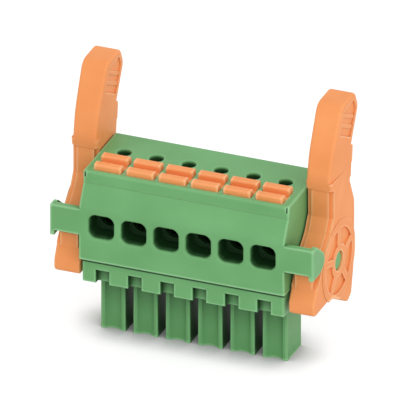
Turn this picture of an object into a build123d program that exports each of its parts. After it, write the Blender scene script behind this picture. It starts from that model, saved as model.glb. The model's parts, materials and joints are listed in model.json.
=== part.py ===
from build123d import *
from math import atan2, degrees
import os

# Pluggable terminal block: a green plug with one wire entry and one push button for each pole,
# and an orange lock and release lever at each end, standing on its contact legs.
# X runs along the row of poles, Y from the wire entries to the back, Z up from the ends of the legs.
# Sizes are in millimetres. Places in Y are written from the front plane of the wire entries.

# Row of poles
pole_count = 6
pole_pitch = 5.08

# Levels, from the ends of the legs upwards
leg_height = 9.55
carrier_height = 3.85
housing_height = 13.7

# Upper housing
end_reach = 3.45
housing_depth = 14.85
slope_height = 3.4
lip_height = 1.8
lip_setback = 1.8
lip_overhang = 0.08
lip_round = 0.35
slope_round = 2.0
back_edge_round = 0.35
end_round = 0.15
lip_slot_inset = 0.2
lip_slot_width = 0.2
lip_slot_depth = 0.2
lip_slot_height = 0.95

# Wire entries: a straight ring at the mouth, a wider cavity behind it and a round throat
entry_drop = 8.05
entry_width = 3.9
entry_tall = 3.7
entry_corner = 1.1
entry_rim_round = 0.45
ring_depth = 1.5
cavity_growth = 0.25
funnel_depth = 3.6
funnel_inset = 0.2
throat_radius = 1.5
throat_rise = 0.2
throat_length = 1.0
throat_overlap = 0.3

# Clamping chambers behind the throats
chamber_width = 3.9
chamber_depth = 8.65
chamber_roof = 0.8

# Test holes in the top
test_hole_radius = 1.05
test_hole_setback = 9.35
test_hole_chamfer = 0.15

# Push buttons
button_width = 4.2
button_depth = 4.3
button_setback = 2.65
button_gap = 0.1
button_plate = 1.0
button_sink = 0.1
rib_height = 0.9
front_rib_depth = 1.35
rear_rib_depth = 1.45
rib_round = 0.3
valley_sink = 0.2
stem_width = 2.4
stem_depth = 1.4
stem_setback = 2.45
stem_gap = 0.1
stem_lug_reach = 0.25
stem_lug_height = 0.25
button_travel = 1.2
travel_margin = 0.1

# Arms and stop flanges beside the wire entries
arm_drop = 1.65
arm_height = 4.2
arm_thickness = 0.95
arm_overrun = 0.1
arm_edge_round = 0.15
flange_thickness = 0.68
flange_reach = 4.75
flange_drop = 0.8
flange_round = 0.4
flange_outline_shares = [
    (0.0, 0.0), (0.0, 1.0), (0.34, 1.0), (0.92, 0.57), (1.0, 0.28), (0.82, 0.07), (0.55, 0.0),
]

# Pivot pins
pivot_setback = 10.6
pivot_rise = 1.6
pin_radius = 1.5
pin_gap = 0.06
pin_sunk = 0.15
pin_chamfer = 0.2
collar_radius = 2.1
collar_gap = 0.05

# Levers
lever_gap = 0.25
lever_thickness = 4.1
lever_reach = 9.6
lever_rise = 24.6
lever_swing = 25
swing_step_shares = [0.0, 0.25, 0.5, 0.75, 1.0]
stop_gap = 0.2
hub_raise = 0.1
edge_round = 0.35
# Corners of the side outline from the pivot: back share of the reach, up share of the rise, and
# the corner's radius as a share of the reach. It starts at the front of the grip and goes round
# by the tip, the back, the heel, the foot and the slope behind the flange.
lever_outline_shares = [
    (-0.26, 0.502, 0.02), (-0.297, 0.577, 0.5), (-0.208, 0.72, 1.0), (0.167, 1.0, 0.23),
    (0.712, 1.0, 0.14), (0.84, 0.89, 0.17), (0.55, 0.677, 0.0), (0.592, 0.665, 0.0),
    (0.534, 0.465, 0.0), (0.482, 0.459, 0.02), (0.675, 0.293, 0.25), (0.681, 0.183, 0.5),
    (0.644, -0.154, 0.5), (0.544, -0.32, 0.1), (0.395, -0.351, 0.06), (-0.283, -0.2, 0.2),
    (-1.0, -0.2, 0.08), (-1.0, -0.122, 0.06), (-0.9, -0.043, 0.02), (-0.9, 0.049, 0.05),
    (-0.354, 0.234, 0.03), (-0.229, 0.319, 0.05), (-0.229, 0.502, 0.0),
]
# Line along the front that both edges of a lever are set back to, from the foot's crease to the grip
rebate_gap = 0.17
rebate_line_shares = [
    (-0.9, -0.043), (-0.774, 0.022), (-0.521, 0.163), (-0.3125, 0.24), (-0.184, 0.321), (-0.184, 0.502),
]

# Grip, whose sides curve in towards the front, and the recess with low ribs near the lever's tip
grip_foot_share = 0.56
grip_outer_inset = 0.38
grip_inner_inset = 0.18
grip_plan_shares = [-0.35, 0.31, 0.95]
grip_round = 0.45
tip_recess_depth = 0.25
tip_recess_margin = 1.05
tip_recess_turn = 28
tip_recess_foot_shares = (0.314, 0.774)
tip_rib_count = 2
tip_rib_width = 0.6
tip_rib_pitch = 1.5
tip_rib_sink = 0.12

# Pockets round the pivot in the lever's hub
hub_pocket_count = 5
hub_pocket_inner = 2.6
hub_pocket_outer = 5.1
hub_pocket_turn = 18
hub_pocket_corner = 0.3
hub_pocket_depth = 0.3
hub_spoke_width = 1.1

# Lower housing, which carries the contacts
carrier_inset = 0.3
carrier_setback = 0.65
carrier_depth = 13.65
notch_width = 2.1
notch_height = 2.15
notch_depth = 1.0
tooth_round = 0.12
leg_width = 3.9
leg_setback = 4.95
leg_depth = 5.7
leg_round = 0.2
scallop_width = 2.6
scallop_depth = 0.6
pocket_width = 2.5
pocket_depth = 3.4
leg_floor = 2.0
pin_hole_radius = 0.8
pin_hole_lead = 0.5

# Contacts and clamping springs
strip = 0.5
contact_width = 2.0
contact_bend = 0.8
bar_clearance = 0.07
bar_nose_gap = 0.1
contact_back_gap = 0.7
foot_rise = 1.8
blade_spread = 2.0
blade_pinch = 1.2
blade_end_gap = 0.9
blade_mouth = 1.5
blade_throat = 2.1
spring_strip = 0.3
spring_width = 3.0
spring_bend = 0.75
spring_back_gap = 0.7
spring_tail = 1.9
spring_roof_gap = 0.35
spring_front_gap = 0.3
window_width = 2.3
bridge_height = 1.0

# How far a cutting tool runs past what it cuts
overrun = 1.0

# Places that follow from the sizes above
seam_z = leg_height + carrier_height
top_z = seam_z + housing_height
housing_half = (pole_count - 1) / 2 * pole_pitch + end_reach
pole_xs = [(i - (pole_count - 1) / 2) * pole_pitch for i in range(pole_count)]
entry_z = top_z - entry_drop
throat_z = entry_z + throat_rise
lip_bottom = top_z - lip_height
slope_foot_z = lip_bottom - slope_height
plate_bottom = top_z - button_sink - button_plate
slot_floor = plate_bottom - button_travel - travel_margin
chamber_front = funnel_depth + throat_length
chamber_back = chamber_front + chamber_depth
chamber_top = slot_floor - chamber_roof
arm_bottom = entry_z - arm_drop
arm_top = arm_bottom + arm_height
pivot_z = seam_z + pivot_rise
grip_foot_z = pivot_z + grip_foot_share * lever_rise
lever_inner = housing_half + lever_gap
lever_side = lever_inner + lever_thickness
lever_outer = lever_side + hub_raise
arm_end = lever_outer + arm_overrun
flange_inner = arm_end - flange_thickness
rebate_inner = flange_inner - rebate_gap
socket_centre = leg_setback + leg_depth / 2


def side_plane(x):
    """Plane whose first axis is Y and second is Z, at one place along the row."""
    return Plane(origin=(x, 0, 0), x_dir=(0, 1, 0), z_dir=(1, 0, 0))


def block(x_low, x_high, y_low, y_high, z_low, z_high):
    """Straight block between two corners."""
    size = (x_high - x_low, y_high - y_low, z_high - z_low)
    centre = ((x_low + x_high) / 2, (y_low + y_high) / 2, (z_low + z_high) / 2)
    return Pos(*centre) * Box(*size)


def between(face, x_low, x_high):
    """Side outline drawn in Y and Z, made solid between two places along the row."""
    return extrude(side_plane(x_low) * face, amount=x_high - x_low)


def bent_strip(points, bends, thickness, width, x):
    """Sheet metal strip along a bent path in Y and Z, with rounded ends."""
    path = Wire(FilletPolyline(*points, radius=bends).edges())
    return between(make_face(path.offset_2d(thickness / 2)), x - width / 2, x + width / 2)


def lever_outline():
    """Side outline of a lever in Y and Z, in its place on the pivot."""
    corners = [(back * lever_reach, up * lever_rise) for back, up, turn in lever_outline_shares]
    turns = [turn * lever_reach for back, up, turn in lever_outline_shares]
    outline = make_face(FilletPolyline(*corners, radius=turns, close=True))
    return Pos(pivot_setback, pivot_z) * outline


def rebate_band():
    """Side outline of what both edges of a lever lose in front of the rebate line."""
    line = [(back * lever_reach, up * lever_rise) for back, up in rebate_line_shares]
    far = -lever_reach - overrun
    ends = [(far, line[-1][1]), (far, line[0][1])]
    return Pos(pivot_setback, pivot_z) * make_face(Polyline(*line, *ends, close=True))


def housing_profile():
    """Side outline of the upper housing: vertical front, slope, lip and flat top."""
    corners = [
        (0, seam_z),
        (0, slope_foot_z),
        (lip_setback + lip_overhang, lip_bottom),
        (lip_setback, lip_bottom),
        (lip_setback, top_z),
        (housing_depth, top_z),
        (housing_depth, seam_z),
    ]
    turns = [0, slope_round, 0, 0, lip_round, back_edge_round, 0]
    return make_face(FilletPolyline(*corners, radius=turns, close=True))


def wire_way(x):
    """Entry ring, tapered cavity, round throat and chamber of one pole, as one cutting solid."""
    front = Plane(origin=(x, 0, entry_z), x_dir=(1, 0, 0), z_dir=(0, 1, 0))
    mouth = RectangleRounded(entry_width, entry_tall, entry_corner)
    ring = extrude(front * mouth, amount=ring_depth + throat_overlap)
    wide = RectangleRounded(
        entry_width + 2 * cavity_growth, entry_tall + 2 * cavity_growth, entry_corner + cavity_growth
    )
    cavity_depth = funnel_depth - ring_depth
    taper = degrees(atan2(funnel_inset, cavity_depth))
    cavity = extrude(front.offset(ring_depth) * wide, amount=cavity_depth, taper=taper)
    throat_centre = Pos(x, funnel_depth + throat_length / 2, throat_z)
    throat_run = throat_length + 2 * throat_overlap
    throat = throat_centre * Rot(90, 0, 0) * Cylinder(throat_radius, throat_run)
    half = chamber_width / 2
    chamber = block(x - half, x + half, chamber_front, chamber_back, seam_z - overrun, chamber_top)
    return ring + cavity + throat + chamber


def button_way(x):
    """Slot for a button's plate and window for its stem, as one cutting solid."""
    half = button_width / 2 + button_gap
    front = button_setback - button_gap
    back = button_setback + button_depth + button_gap
    slot = block(x - half, x + half, front, back, slot_floor, top_z + overrun)
    stem_half = stem_width / 2 + stem_gap
    stem_front = button_setback + stem_setback
    window = block(
        x - stem_half,
        x + stem_half,
        stem_front - stem_gap,
        stem_front + stem_depth + stem_gap,
        chamber_top - overrun / 2,
        slot_floor + overrun / 2,
    )
    return slot + window


def test_hole(x):
    """Round hole from the top into the chamber, with a small chamfer at its mouth."""
    depth = top_z - chamber_top
    hole = Pos(x, test_hole_setback, top_z - depth / 2) * Cylinder(test_hole_radius, depth + overrun)
    mouth = Pos(x, test_hole_setback, top_z - test_hole_chamfer / 2) * Cone(
        test_hole_radius, test_hole_radius + test_hole_chamfer, test_hole_chamfer
    )
    return hole + mouth


def lip_slot():
    """Cut of the narrow slot down the lip's front beside its right end."""
    high = housing_half - lip_slot_inset
    back = lip_setback + lip_slot_depth
    return block(high - lip_slot_width, high, 0, back, top_z - lip_slot_height, top_z + overrun)


def flange_outline():
    """Side outline of a stop flange, whose rear edge clears the lever over its whole swing."""
    bottom = arm_bottom - flange_drop
    corners = [
        (reach * flange_reach, bottom + up * (arm_top - bottom))
        for reach, up in flange_outline_shares
    ]
    turns = [0, 0] + [flange_round] * (len(corners) - 2)
    outline = make_face(FilletPolyline(*corners, radius=turns, close=True))
    pivot = Pos(pivot_setback, pivot_z)
    lever_layer = pivot.inverse() * (lever_outline() - rebate_band())
    for share in swing_step_shares:
        swung = pivot * Rot(0, 0, share * lever_swing) * lever_layer
        outline -= Pos(-stop_gap, 0) * swung
        outline -= Pos(0, stop_gap) * swung
    return outline


def hub_radius():
    """Radius of the raised hub, which the flange's nose passes round with a gap."""
    nose = flange_outline().distance_to(Vertex(pivot_setback, pivot_z, 0))
    return nose - stop_gap


def arm():
    """Right arm with its stop flange and the pivot pin behind it."""
    bar = block(housing_half - overrun, arm_end, 0, arm_thickness, arm_bottom, arm_top)
    hand = bar + between(flange_outline(), flange_inner, arm_end)
    outer_face = hand.faces().sort_by(Axis.X)[-1]
    hand = fillet(outer_face.outer_wire().edges(), arm_edge_round)
    pin_length = lever_side - pin_sunk - housing_half
    pin_face = side_plane(housing_half) * Pos(pivot_setback, pivot_z)
    pin = extrude(pin_face * Circle(pin_radius), amount=pin_length)
    pin = chamfer(pin.edges().sort_by(Axis.X)[-1], pin_chamfer)
    collar = extrude(pin_face * Circle(collar_radius), amount=lever_gap - collar_gap)
    return hand + pin + collar


def upper_housing():
    """Upper housing with its wire entries, button slots, test holes, arms and pins."""
    body = between(housing_profile(), -housing_half, housing_half)
    ends = body.faces().filter_by(Axis.X)
    rims = [edge for end in ends for edge in end.edges() if edge.center().Z > seam_z + end_round]
    body = fillet(rims, end_round)
    for x in pole_xs:
        body -= wire_way(x)
        body -= button_way(x)
        body -= test_hole(x)
    front = body.faces().filter_by(Axis.Y).sort_by(Axis.Y)[0]
    rims = [edge for wire in front.inner_wires() for edge in wire.edges()]
    body = fillet(rims, entry_rim_round)
    body -= lip_slot() + mirror(lip_slot(), about=Plane.YZ)
    right = arm()
    return body + right + mirror(right, about=Plane.YZ)


def scallop_radius():
    """Radius of the round hollow down a leg's front, from its width and depth."""
    half = scallop_width / 2
    return (half * half + scallop_depth * scallop_depth) / (2 * scallop_depth)


def leg(x):
    """One contact leg: a straight post with a hollow down its front."""
    half = leg_width / 2
    back = leg_setback + leg_depth
    post = block(x - half, x + half, leg_setback, back, 0, leg_height + overrun)
    post = fillet(post.edges().filter_by(Axis.Z), leg_round)
    radius = scallop_radius()
    hollow_y = leg_setback + scallop_depth - radius
    hollow = Pos(x, hollow_y, leg_height / 2) * Cylinder(radius, leg_height)
    return post - hollow


def contact_pocket(x):
    """Pocket for a contact, open at the top, with the header pin's hole through its floor."""
    half = pocket_width / 2
    front = socket_centre - pocket_depth / 2
    pocket = block(x - half, x + half, front, front + pocket_depth, leg_floor, seam_z + overrun)
    hole = Pos(x, socket_centre, leg_floor / 2) * Cylinder(pin_hole_radius, leg_floor + overrun)
    lead = Pos(x, socket_centre, pin_hole_lead / 2) * Cone(
        pin_hole_radius + pin_hole_lead, pin_hole_radius, pin_hole_lead
    )
    return pocket + hole + lead


def lower_housing():
    """Lower housing: a block with a notched front and one leg for each pole."""
    half = housing_half - carrier_inset
    back = carrier_setback + carrier_depth
    body = block(-half, half, carrier_setback, back, leg_height, seam_z)
    body = fillet(body.edges().filter_by(Axis.Z), leg_round)
    for x in pole_xs:
        body += leg(x)
    for x in pole_xs:
        body -= contact_pocket(x)
        body -= block(
            x - notch_width / 2,
            x + notch_width / 2,
            0,
            carrier_setback + notch_depth,
            0,
            leg_height + notch_height,
        )
    front = body.faces().filter_by(Axis.Y).sort_by(Axis.Y)[0]
    limit = half - 2 * leg_round
    rims = [edge for edge in front.outer_wire().edges() if abs(edge.center().X) < limit]
    return fillet(rims, tooth_round)


def push_button(x):
    """Push button: a plate with two rounded ribs on top and a stem with two retaining lugs."""
    half = button_width / 2
    back = button_setback + button_depth
    rib_top = top_z + rib_height
    valley = top_z - valley_sink
    side = [
        (button_setback, plate_bottom),
        (button_setback, rib_top),
        (button_setback + front_rib_depth, rib_top),
        (button_setback + front_rib_depth, valley),
        (back - rear_rib_depth, valley),
        (back - rear_rib_depth, rib_top),
        (back, rib_top),
        (back, plate_bottom),
    ]
    turns = [0, rib_round, rib_round, 0, 0, rib_round, rib_round, 0]
    outline = make_face(FilletPolyline(*side, radius=turns, close=True))
    cap = between(outline, x - half, x + half)
    stem_front = button_setback + stem_setback
    stem_bottom = chamber_top - spring_roof_gap
    stem_back = stem_front + stem_depth
    stem_half = stem_width / 2
    stem = block(x - stem_half, x + stem_half, stem_front, stem_back, stem_bottom, plate_bottom)
    lug_half = stem_half + stem_lug_reach
    lug_top = stem_bottom + stem_lug_height
    lugs = block(x - lug_half, x + lug_half, stem_front, stem_back, stem_bottom, lug_top)
    return cap + stem + lugs


def contact(x):
    """Contact: current bar over the wire, back limb, foot and two blades down into the leg."""
    bar_z = throat_z + throat_radius + bar_clearance + strip / 2
    back_y = chamber_back - contact_back_gap
    foot_z = seam_z + foot_rise
    top_blade = leg_floor + blade_end_gap
    pinch_z = top_blade + blade_mouth
    wide_z = pinch_z + blade_throat
    front = socket_centre - blade_spread / 2
    rear = socket_centre + blade_spread / 2
    blade = [
        (blade_spread / 2, wide_z),
        (blade_pinch / 2, pinch_z),
        (blade_spread / 2 - strip / 2, top_blade),
    ]
    nose_y = chamber_front + bar_nose_gap + strip / 2
    path = [(nose_y, bar_z), (back_y, bar_z), (back_y, foot_z), (front, foot_z)]
    path += [(socket_centre - offset_y, z) for offset_y, z in blade]
    bends = [contact_bend] * (len(path) - 2)
    main = bent_strip(path, bends, strip, contact_width, x)
    rear_path = [(rear, foot_z)] + [(socket_centre + offset_y, z) for offset_y, z in blade]
    rear_bends = [contact_bend] * (len(rear_path) - 2)
    return main + bent_strip(rear_path, rear_bends, strip, contact_width, x)


def clamp_spring(x):
    """Clamping spring: tail on the bar, bow at the back, top run and a front limb with a window."""
    bar_top = throat_z + throat_radius + bar_clearance + strip
    low = bar_top + spring_strip / 2
    high = chamber_top - spring_roof_gap - spring_strip / 2
    front_y = chamber_front + spring_front_gap + spring_strip / 2
    back_y = chamber_back - contact_back_gap - strip / 2 - spring_back_gap
    window_bottom = bar_top - strip
    path = [
        (front_y + spring_tail, low),
        (back_y, low),
        (back_y, high),
        (front_y, high),
        (front_y, window_bottom - bridge_height),
    ]
    bends = [spring_bend, spring_bend, spring_bend]
    band = bent_strip(path, bends, spring_strip, spring_width, x)
    half = window_width / 2
    window_top = high - spring_bend
    window = block(
        x - half, x + half, front_y - spring_strip, front_y + spring_strip, window_bottom, window_top
    )
    return band - window


def side_rims(body, faces_a_side):
    """Edges round the side faces of a lever or its grip."""
    faces = body.faces().sort_by(Axis.X)
    sides = faces[:faces_a_side] + faces[-faces_a_side:]
    return [edge for side in sides for edge in side.outer_wire().edges()]


def grip():
    """Upper part of a lever, whose sides curve in towards the front."""
    front, flush, back = (pivot_setback + share * lever_reach for share in grip_plan_shares)
    front_outer = (lever_side - grip_outer_inset, front)
    front_inner = (lever_inner + grip_inner_inset, front)
    plan = [
        Line((lever_inner, back), (lever_side, back)),
        Line((lever_side, back), (lever_side, flush)),
        TangentArc((lever_side, flush), front_outer, tangent=(0, -1)),
        Line(front_outer, front_inner),
        TangentArc((lever_inner, flush), front_inner, tangent=(0, -1)),
        Line((lever_inner, flush), (lever_inner, back)),
    ]
    column = extrude(Plane.XY.offset(grip_foot_z) * make_face(plan), amount=lever_rise)
    body = between(lever_outline(), lever_inner, lever_side) & column
    front_rims = [edge for edge in side_rims(body, 2) if edge.center().Y < pivot_setback]
    return fillet([edge for edge in front_rims if edge.center().Z > grip_foot_z + grip_round], grip_round)


def both_sides(cut):
    """A cut in the lever's outer side, with its twin in the inner side."""
    middle = Plane.YZ.offset((lever_inner + lever_side) / 2)
    return [cut, mirror(cut, about=middle)]


def tip_recess():
    """Side outlines of the recess near the tip and of its floor between low straight ribs."""
    back, up = tip_recess_foot_shares
    foot = Pos(pivot_setback + back * lever_reach, pivot_z + up * lever_rise)
    foot = foot * Rot(0, 0, -tip_recess_turn)
    upper = foot * Rectangle(2 * lever_reach, lever_reach, align=(Align.CENTER, Align.MIN))
    recess = offset(lever_outline(), -tip_recess_margin) & upper
    floor = recess
    for i in range(tip_rib_count):
        rib = Pos(0, (i + 1) * tip_rib_pitch) * Rectangle(2 * lever_reach, tip_rib_width)
        floor -= foot * rib
    return recess, floor


def hub_pockets():
    """Side outlines of the pockets round the pivot, with a spoke between each two."""
    ring = Circle(hub_pocket_outer) - Circle(hub_pocket_inner)
    for i in range(hub_pocket_count):
        turn = Rot(0, 0, hub_pocket_turn + i * 360 / hub_pocket_count)
        ring -= turn * Rectangle(2 * hub_pocket_outer, hub_spoke_width, align=(Align.MIN, Align.CENTER))
    pockets = [fillet(face.vertices(), hub_pocket_corner) for face in ring.faces()]
    return [Pos(pivot_setback, pivot_z) * pocket for pocket in pockets]


def lever():
    """Right lever: grip, raised hub with its bore, foot, heel, rebates and shallow relief."""
    outline = lever_outline()
    body = between(outline, lever_inner, lever_side)
    body = fillet(side_rims(body, 1), edge_round)
    body = split(body, Plane.XY.offset(grip_foot_z), keep=Keep.BOTTOM) + grip()
    hub = Pos(pivot_setback, pivot_z) * Circle(hub_radius())
    body += between(hub & outline, lever_side, lever_outer)
    body -= both_sides(between(rebate_band(), rebate_inner, lever_outer + overrun))
    recess, floor = tip_recess()
    body -= both_sides(between(recess, lever_side - tip_rib_sink, lever_side + overrun))
    body -= both_sides(between(floor, lever_side - tip_recess_depth, lever_side + overrun))
    for pocket in hub_pockets():
        body -= between(pocket, lever_outer - hub_pocket_depth, lever_outer + overrun)
    bore = side_plane(lever_inner - overrun) * Pos(pivot_setback, pivot_z)
    bore_length = lever_outer - lever_inner + 2 * overrun
    return body - extrude(bore * Circle(pin_radius + pin_gap), amount=bore_length)


def main():
    """Write each piece to its own file, with the origin under the middle of the plug."""
    os.makedirs("parts", exist_ok=True)
    depth = lever_outline().bounding_box().max.X
    right_lever = lever()
    pieces = {
        "upper_housing": upper_housing(),
        "lower_housing": lower_housing(),
        "lever_right": right_lever,
        "lever_left": mirror(right_lever, about=Plane.YZ),
    }
    for number, x in enumerate(pole_xs, start=1):
        pieces[f"push_button_{number}"] = push_button(x)
        pieces[f"contact_{number}"] = contact(x)
        pieces[f"clamp_spring_{number}"] = clamp_spring(x)
    for name, piece in pieces.items():
        export_step(Pos(0, -depth / 2, 0) * piece, f"parts/{name}.step")


main()
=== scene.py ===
import json
from math import cos, radians, sin

import bmesh
import bpy
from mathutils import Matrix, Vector


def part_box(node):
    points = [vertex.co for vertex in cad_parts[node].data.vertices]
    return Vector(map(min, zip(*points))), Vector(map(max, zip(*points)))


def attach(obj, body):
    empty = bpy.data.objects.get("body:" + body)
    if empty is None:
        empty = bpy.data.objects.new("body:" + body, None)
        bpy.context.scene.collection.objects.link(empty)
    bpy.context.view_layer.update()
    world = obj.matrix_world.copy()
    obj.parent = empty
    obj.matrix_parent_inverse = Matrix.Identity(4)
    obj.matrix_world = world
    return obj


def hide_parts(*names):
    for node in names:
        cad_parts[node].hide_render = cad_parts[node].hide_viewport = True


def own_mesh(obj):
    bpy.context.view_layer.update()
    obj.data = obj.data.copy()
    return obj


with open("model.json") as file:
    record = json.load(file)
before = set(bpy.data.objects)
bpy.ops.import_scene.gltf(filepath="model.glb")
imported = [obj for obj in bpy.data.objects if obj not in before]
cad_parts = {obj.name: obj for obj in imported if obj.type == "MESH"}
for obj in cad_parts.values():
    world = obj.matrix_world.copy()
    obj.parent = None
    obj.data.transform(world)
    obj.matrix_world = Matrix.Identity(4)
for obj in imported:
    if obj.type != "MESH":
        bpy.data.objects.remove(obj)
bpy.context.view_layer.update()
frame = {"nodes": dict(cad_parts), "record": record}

# Pluggable terminal block: green moulded plug with orange push buttons and levers, on a white table.
# Lengths are in metres. A name that ends in _mm holds millimetres, which mm turns to metres.
mm = 0.001

# Camera: the photograph's angle, its scale, and where its frame of 408 by 408 pixels shows the aim
camera_azimuth = 21.604
camera_elevation = 27.693
photo_pixels = 408
pixels_per_mm = 6.84
aim_x_px = 200.865
aim_y_px = 226.99
aim_height = 18.0 * mm
aim_behind_front = 7.7 * mm
camera_distance = 0.4
nearest_seen, farthest_seen = 0.01, 10.0

# Studio: a table three metres square in an even white room, which lights the plug at this strength and
# which the camera sees as plain white
table_side = 3.0
room_light = 0.9
backdrop_white = "#FFFFFF"
table_white = "#E6E6E6"

# Shadow where the plug stands, partly painted: the table looks up this far for it, shows a painted shadow
# tone for each share of open air, glows with that tone, and mixes the glow with the light that falls on it,
# whose real shadow stays
shadow_reach_mm = 6.5
shadow_samples = 16
shadow_tones = [(0.3, "#484848"), (0.6, "#949494"), (0.85, "#DADADA"), (0.96, backdrop_white)]
shadow_glow = 1.35
shadow_part = 0.55

# Moulded polyamide. A real spark-eroded grain is near 0.05 mm, too fine for the render, so it is drawn
# at 0.22 mm, which is one and a half of its pixels. The spread is what the grain takes from and adds to
# the roughness. The wall samples are how many ways a point looks for walls round it.
melt_drift_mm = 7.0
spark_grain_mm = 0.22
grain_depth_mm = 0.012
grain_strength = 0.25
grain_spread = (-0.05, 0.06)
mould_radius_mm = 0.2
bevel_samples = 4
wall_samples = 12
polyamide_ior = 1.53

# Painted highlight along a moulded edge: the skin looks this far inwards. The highlight starts and is full at
# the first two open shares there, and shows only where the open shares outside pass the other two.
edge_reach_mm = 0.5
thin_starts, thin_full = 0.92, 0.62
bare_starts, bare_full = 0.75, 0.95

# Rolled strip, hidden inside the housing: width and run of its lines, the depth of their relief, and
# what they take from and add to the roughness
strip_line_mm = 0.12
strip_run_mm = 4.0
strip_depth_mm = 0.004
strip_strength = 0.2
strip_spread = (-0.06, 0.08)

# Most values of a noise pattern lie between these, and a smooth step eases in and out between its ends
noise_low, noise_high = 0.3, 0.7
smooth_step = {"interpolation_type": "SMOOTHSTEP"}

# Joined copies of CAD nodes: points nearer than the first are one, and an edge stays sharp where its
# faces turn by more than the second
same_point_mm = 0.0005
sharp_edge_deg = 28


def linear(hex_colour):
    """sRGB hex to the linear colour that a shader takes."""
    channels = [int(hex_colour[i:i + 2], 16) / 255 for i in (1, 3, 5)]
    return (*[c / 12.92 if c <= 0.04045 else ((c + 0.055) / 1.055) ** 2.4 for c in channels], 1.0)


def add_node(tree, kind, settings=None, values=None, links=None, stops=None):
    """Add one shader node: its settings, its inputs' values, what is linked in, and a ramp's stops."""
    made = tree.nodes.new(kind)
    for name, value in (settings or {}).items():
        setattr(made, name, value)
    for name, value in (values or {}).items():
        made.inputs[name].default_value = value
    for name, source in (links or {}).items():
        tree.links.new(source, made.inputs[name])
    if stops:
        elements = made.color_ramp.elements
        while len(elements) < len(stops):
            elements.new(0.5)
        for element, (position, colour) in zip(elements, stops):
            element.position = position
            element.color = linear(colour)
    return made


def new_material(name):
    """Material with an empty node tree."""
    material = bpy.data.materials.new(name)
    material.use_nodes = True
    material.node_tree.nodes.clear()
    return material, material.node_tree


def zone_share(tree, place, zone):
    """One inside a zone of the piece and zero outside it.

    For each axis the zone gives the place where the share is zero and the place where it is one.
    """
    axes = add_node(tree, "ShaderNodeSeparateXYZ", links={"Vector": place})
    share = None
    for axis, (outside, inside) in zone.items():
        along = add_node(
            tree, "ShaderNodeMapRange", settings=smooth_step,
            values={"From Min": outside, "From Max": inside},
            links={"Value": axes.outputs[axis]},
        ).outputs["Result"]
        if share is None:
            share = along
        else:
            share = add_node(
                tree, "ShaderNodeMath", settings={"operation": "MULTIPLY"}, links={0: share, 1: along}
            ).outputs["Value"]
    return share


def painted_highlight_share(tree, air):
    """Share of a painted highlight: one along an outer edge, where there is little plastic behind the skin,
    and zero on a face.
    """
    behind = add_node(
        tree, "ShaderNodeAmbientOcclusion",
        settings={"samples": wall_samples, "only_local": True, "inside": True},
        values={"Distance": edge_reach_mm * mm},
    )
    thin = add_node(
        tree, "ShaderNodeMapRange", settings=smooth_step,
        values={"From Min": thin_starts, "From Max": thin_full},
        links={"Value": behind.outputs["AO"]},
    )
    bare = add_node(
        tree, "ShaderNodeMapRange", settings=smooth_step,
        values={"From Min": bare_starts, "From Max": bare_full},
        links={"Value": air},
    )
    both = add_node(
        tree, "ShaderNodeMath", settings={"operation": "MULTIPLY"},
        links={0: thin.outputs["Result"], 1: bare.outputs["Result"]},
    )
    return both.outputs["Value"]


def painted_opening_shade(tree, place, air, closed, plain, painted_shade_zone):
    """Share of painted shade: one far inside an opening and zero on an open face; a zone keeps it out of the
    openings' rims.
    """
    share = add_node(
        tree, "ShaderNodeMapRange", settings=smooth_step,
        values={"From Min": plain, "From Max": closed},
        links={"Value": air},
    ).outputs["Result"]
    if painted_shade_zone:
        share = add_node(
            tree, "ShaderNodeMath", settings={"operation": "MINIMUM"},
            links={0: share, 1: zone_share(tree, place, painted_shade_zone)},
        ).outputs["Value"]
    return share


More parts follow.
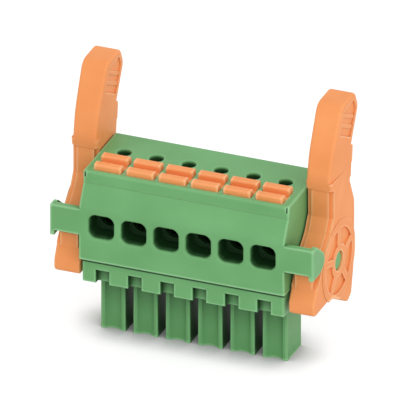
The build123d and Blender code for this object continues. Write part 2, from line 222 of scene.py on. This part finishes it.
def moulded_polyamide(
    name, shade, tone, light, edge, painted_shade_colour, wall_reach_mm, closed, plain, roughness, gloss,
    painted_shade_zone=None, legs=None, painted_leg_shade=None, painted_seam_shadow=None,
):
    """Injection moulded polyamide 66 from a spark-eroded mould.

    The eye sees an even, slightly waxy colour, a broad soft gloss, a very fine grain and a slow drift of
    tone where the melt flowed. Over these lie a painted highlight along each moulded edge and painted
    shade inside narrow openings, and where given on the legs and under the seam. The plastic looks
    round itself for walls of its own piece, as far as its wall reach. The painted shade is full where
    the share of open air is closed or less, and none from the share plain up.
    """
    material, tree = new_material(name)
    place = add_node(tree, "ShaderNodeTexCoord").outputs["Object"]
    drift = add_node(
        tree, "ShaderNodeTexNoise",
        values={"Scale": 1 / (melt_drift_mm * mm), "Detail": 2.0, "Roughness": 0.5},
        links={"Vector": place},
    )
    colour = add_node(
        tree, "ShaderNodeValToRGB",
        links={"Fac": drift.outputs["Fac"]},
        stops=[(noise_low, shade), (0.5, tone), (noise_high, light)],
    ).outputs["Color"]
    air = add_node(
        tree, "ShaderNodeAmbientOcclusion",
        settings={"samples": wall_samples, "only_local": True},
        values={"Distance": wall_reach_mm * mm},
    ).outputs["AO"]
    # Painted highlight along the outer edges and painted shade inside the openings, mixed over the tone
    over = [(painted_highlight_share(tree, air), edge), (painted_opening_shade(tree, place, air, closed, plain, painted_shade_zone), painted_shade_colour)]
    # Painted shade on the legs, for the block above them
    if legs:
        over.insert(0, (zone_share(tree, place, legs), painted_leg_shade))
    # Painted shadow just under the seam, where the upper housing overhangs the carrier's front
    if painted_seam_shadow:
        over.append((zone_share(tree, place, painted_seam_shadow), painted_shade_colour))
    for share, upper in over:
        colour = add_node(
            tree, "ShaderNodeMixRGB", values={"Color2": linear(upper)}, links={"Fac": share, "Color1": colour}
        ).outputs["Color"]
    grain = add_node(
        tree, "ShaderNodeTexNoise",
        values={"Scale": 1 / (spark_grain_mm * mm), "Detail": 3.0, "Roughness": 0.6},
        links={"Vector": place},
    )
    sheen = add_node(
        tree, "ShaderNodeMapRange",
        values={
            "From Min": noise_low, "From Max": noise_high,
            "To Min": roughness + grain_spread[0], "To Max": roughness + grain_spread[1],
        },
        links={"Value": grain.outputs["Fac"]},
    )
    rounded = add_node(
        tree, "ShaderNodeBevel", settings={"samples": bevel_samples}, values={"Radius": mould_radius_mm * mm}
    )
    relief = add_node(
        tree, "ShaderNodeBump",
        values={"Strength": grain_strength, "Distance": grain_depth_mm * mm},
        links={"Height": grain.outputs["Fac"], "Normal": rounded.outputs["Normal"]},
    )
    shader = add_node(
        tree, "ShaderNodeBsdfPrincipled",
        values={"IOR": polyamide_ior, "Specular IOR Level": gloss},
        links={
            "Base Color": colour,
            "Roughness": sheen.outputs["Result"],
            "Normal": relief.outputs["Normal"],
        },
    )
    add_node(tree, "ShaderNodeOutputMaterial", links={"Surface": shader.outputs["BSDF"]})
    return material


def drawn_strip(name, dark, light, roughness):
    """Rolled metal strip, stamped and bent.

    The eye sees fine lines along the strip, a soft metallic gloss and slightly duller streaks.
    """
    material, tree = new_material(name)
    place = add_node(tree, "ShaderNodeTexCoord").outputs["Object"]
    across, along = 1 / (strip_line_mm * mm), 1 / (strip_run_mm * mm)
    stretch = add_node(
        tree, "ShaderNodeMapping", values={"Scale": (across, along, along)}, links={"Vector": place}
    )
    lines = add_node(
        tree, "ShaderNodeTexNoise",
        values={"Scale": 1.0, "Detail": 2.0},
        links={"Vector": stretch.outputs["Vector"]},
    ).outputs["Fac"]
    tint = add_node(
        tree, "ShaderNodeValToRGB", links={"Fac": lines}, stops=[(0.35, dark), (0.65, light)]
    )
    sheen = add_node(
        tree, "ShaderNodeMapRange",
        values={
            "From Min": noise_low, "From Max": noise_high,
            "To Min": roughness + strip_spread[0], "To Max": roughness + strip_spread[1],
        },
        links={"Value": lines},
    )
    relief = add_node(
        tree, "ShaderNodeBump",
        values={"Strength": strip_strength, "Distance": strip_depth_mm * mm},
        links={"Height": lines},
    )
    shader = add_node(
        tree, "ShaderNodeBsdfPrincipled",
        values={"Metallic": 1.0},
        links={
            "Base Color": tint.outputs["Color"],
            "Roughness": sheen.outputs["Result"],
            "Normal": relief.outputs["Normal"],
        },
    )
    add_node(tree, "ShaderNodeOutputMaterial", links={"Surface": shader.outputs["BSDF"]})
    return material


def seen_share(tree):
    """One for rays that the camera, a gloss or a clear piece sees, zero for the light that falls."""
    ray = add_node(tree, "ShaderNodeLightPath")
    seen = ray.outputs["Is Camera Ray"]
    for kind in ("Is Glossy Ray", "Is Transmission Ray"):
        seen = add_node(
            tree, "ShaderNodeMath", settings={"operation": "MAXIMUM"}, links={0: seen, 1: ray.outputs[kind]}
        ).outputs["Value"]
    return seen


def white_table():
    """Matt white table, which shows the camera a clean white with the plug's soft shadow, partly real and
    partly painted.
    """
    material, tree = new_material("white_table")
    board = add_node(tree, "ShaderNodeBsdfDiffuse", values={"Color": linear(table_white)}).outputs["BSDF"]
    air = add_node(
        tree, "ShaderNodeAmbientOcclusion",
        settings={"samples": shadow_samples},
        values={"Distance": shadow_reach_mm * mm},
    )
    shadow = add_node(tree, "ShaderNodeValToRGB", links={"Fac": air.outputs["AO"]}, stops=shadow_tones)
    glow = add_node(
        tree, "ShaderNodeEmission", values={"Strength": shadow_glow}, links={"Color": shadow.outputs["Color"]}
    )
    shown = add_node(
        tree, "ShaderNodeMixShader",
        values={"Fac": shadow_part},
        links={1: board, 2: glow.outputs["Emission"]},
    )
    choice = add_node(
        tree, "ShaderNodeMixShader", links={"Fac": seen_share(tree), 1: board, 2: shown.outputs["Shader"]}
    )
    add_node(tree, "ShaderNodeOutputMaterial", links={"Surface": choice.outputs["Shader"]})
    return material


def dress(prefix, material):
    """Give a material to each CAD node whose name starts with a prefix."""
    for name, node in frame["nodes"].items():
        if name.startswith(prefix):
            node.data.materials.clear()
            node.data.materials.append(material)


def add_object(name, data):
    """Put new data in the scene as an object at the origin."""
    made = bpy.data.objects.new(name, data)
    bpy.context.scene.collection.objects.link(made)
    return made


def joined_copy(node_name, piece_name, material):
    """Copy of a CAD node as one closed skin, smooth except along its sharp edges.

    The normals that the CAD gave its loose triangles no longer fit, so they are taken off.
    """
    skin = bmesh.new()
    skin.from_mesh(frame["nodes"][node_name].data)
    bmesh.ops.remove_doubles(skin, verts=skin.verts, dist=same_point_mm * mm)
    for face in skin.faces:
        face.smooth = True
    for edge in skin.edges:
        edge.smooth = edge.is_manifold and edge.calc_face_angle() < radians(sharp_edge_deg)
    mesh = bpy.data.meshes.new(piece_name)
    skin.to_mesh(mesh)
    skin.free()
    old_normals = mesh.attributes.get("custom_normal")
    if old_normals:
        mesh.attributes.remove(old_normals)
    mesh.materials.clear()
    mesh.materials.append(material)
    return add_object(piece_name, mesh)


def make_springs(material):
    """Clamping springs, each a joined copy of its CAD node that is kept with the housing in place of the
    node.
    """
    for joint in frame["record"]["behaviour"]["joints"]:
        for held in joint.get("deforming_nodes", []):
            node_name, fixed = held["node"], held["fixed_end_z_m"]
            piece = joined_copy(node_name, f"pressed_{node_name}", material)
            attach(piece, "housing")
            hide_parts(node_name)
            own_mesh(piece)


def make_table():
    """Table top that the legs stand on."""
    sheet = bmesh.new()
    bmesh.ops.create_grid(sheet, x_segments=1, y_segments=1, size=table_side / 2)
    mesh = bpy.data.meshes.new("table_top")
    sheet.to_mesh(mesh)
    sheet.free()
    mesh.materials.append(white_table())
    add_object("table_top", mesh)


def direction(azimuth_deg, elevation_deg):
    """From the plug towards a camera or lamp; azimuth 0 is straight in front, 90 is the right end."""
    azimuth, elevation = radians(azimuth_deg), radians(elevation_deg)
    return Vector((sin(azimuth) * cos(elevation), -cos(azimuth) * cos(elevation), sin(elevation)))


def stand_off(name, data, middle, away, distance):
    """Camera or lamp at a distance from a middle that it looks back at."""
    made = add_object(name, data)
    made.location = middle + away * distance
    made.rotation_mode = "QUATERNION"
    made.rotation_quaternion = away.to_track_quat("Z", "Y")
    return made


def make_camera():
    """Camera at the photograph's angle, with parallel rays, framed as the photograph is."""
    back = direction(camera_azimuth, camera_elevation)
    right = Vector((cos(radians(camera_azimuth)), sin(radians(camera_azimuth)), 0))
    up = back.cross(right)
    aim = Vector((0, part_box("upper_housing")[0][1] + aim_behind_front, aim_height))
    pixel = mm / pixels_per_mm
    off_x = (photo_pixels / 2 - aim_x_px) * pixel
    off_y = (aim_y_px - photo_pixels / 2) * pixel
    data = bpy.data.cameras.new("photo_camera")
    data.type = "ORTHO"
    data.ortho_scale = photo_pixels * pixel
    data.clip_start, data.clip_end = nearest_seen, farthest_seen
    middle = aim + right * off_x + up * off_y
    bpy.context.scene.camera = stand_off("photo_camera", data, middle, back, camera_distance)


def soft_box(name, azimuth_deg, elevation_deg, distance, side, power):
    """Square area lamp that looks at the plug's middle."""
    data = bpy.data.lights.new(name, "AREA")
    data.shape = "SQUARE"
    data.size = side
    data.energy = power
    stand_off(name, data, Vector((0, 0, aim_height)), direction(azimuth_deg, elevation_deg), distance)


def make_world():
    """Even white room light, shown as plain white behind the table."""
    world = bpy.data.worlds.new("white_room")
    world.use_nodes = True
    tree = world.node_tree
    tree.nodes.clear()
    white = linear(backdrop_white)
    room = add_node(tree, "ShaderNodeBackground", values={"Color": white, "Strength": room_light})
    shown = add_node(tree, "ShaderNodeBackground", values={"Color": white, "Strength": 1.0})
    choice = add_node(
        tree, "ShaderNodeMixShader",
        links={"Fac": seen_share(tree), 1: room.outputs["Background"], 2: shown.outputs["Background"]},
    )
    add_node(tree, "ShaderNodeOutputWorld", links={"Surface": choice.outputs["Shader"]})
    bpy.context.scene.world = world


# Zones of the housings' painted shade. Light reaches into the openings of the top face, so their painted
# shade starts only 0.6 mm under it. The legs get a painted shade for the block above them, which ends at
# leg_top. A painted shadow darkens the carrier's front just under the seam of the two housings, where the
# upper housing overhangs it.
leg_top = 9.55 * mm
seam_shadow_height = 0.56 * mm
upper_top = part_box("upper_housing")[1][2]
lower_front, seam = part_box("lower_housing")[0][1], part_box("lower_housing")[1][2]
under_top_face = {"Z": (upper_top - 0.1 * mm, upper_top - 0.6 * mm)}
painted_shade_on_legs = {"Z": (leg_top, leg_top - 1.5 * mm)}
painted_shadow_under_seam = {
    "Z": (seam - 1.2 * seam_shadow_height, seam - seam_shadow_height),
    "Y": (lower_front + 0.5 * mm, lower_front + 0.3 * mm),
}

# In each plastic the edge colour is a painted highlight and the deep colour a painted shade
green = moulded_polyamide(
    "moulded_green_polyamide",
    shade="#67A467", tone="#6CA96C", light="#71AE71", edge="#93CB93", painted_shade_colour="#193F1B",
    wall_reach_mm=5.0, closed=0.27, plain=0.83, roughness=0.48, gloss=0.3, painted_shade_zone=under_top_face,
)
carrier_green = moulded_polyamide(
    "moulded_green_polyamide_carrier",
    shade="#67A467", tone="#6CA96C", light="#71AE71", edge="#8AC48A", painted_shade_colour="#1F4A21",
    wall_reach_mm=7.0, closed=0.42, plain=0.97, roughness=0.48, gloss=0.3,
    legs=painted_shade_on_legs, painted_leg_shade="#64A064", painted_seam_shadow=painted_shadow_under_seam,
)
orange = moulded_polyamide(
    "moulded_orange_polyamide",
    shade="#EE9556", tone="#F29A5C", light="#F69F61", edge="#FEB983", painted_shade_colour="#D8743C",
    wall_reach_mm=1.5, closed=0.2, plain=0.6, roughness=0.52, gloss=0.22,
)
tin = drawn_strip("tin_plated_copper_strip", dark="#A9A59C", light="#CFCCC4", roughness=0.32)
spring = drawn_strip("stainless_spring_strip", dark="#8E9196", light="#B9BCC0", roughness=0.28)
dress("upper_housing", green)
dress("lower_housing", carrier_green)
dress("push_button", orange)
dress("lever", orange)
dress("contact", tin)
dress("clamp_spring", spring)

make_springs(spring)

make_table()
make_camera()
make_world()
soft_box("key_soft_box", azimuth_deg=35, elevation_deg=38, distance=0.6, side=0.5, power=0.8)
soft_box("side_soft_box", azimuth_deg=85, elevation_deg=20, distance=0.7, side=0.5, power=0.35)

bpy.context.scene.view_settings.view_transform = "Standard"
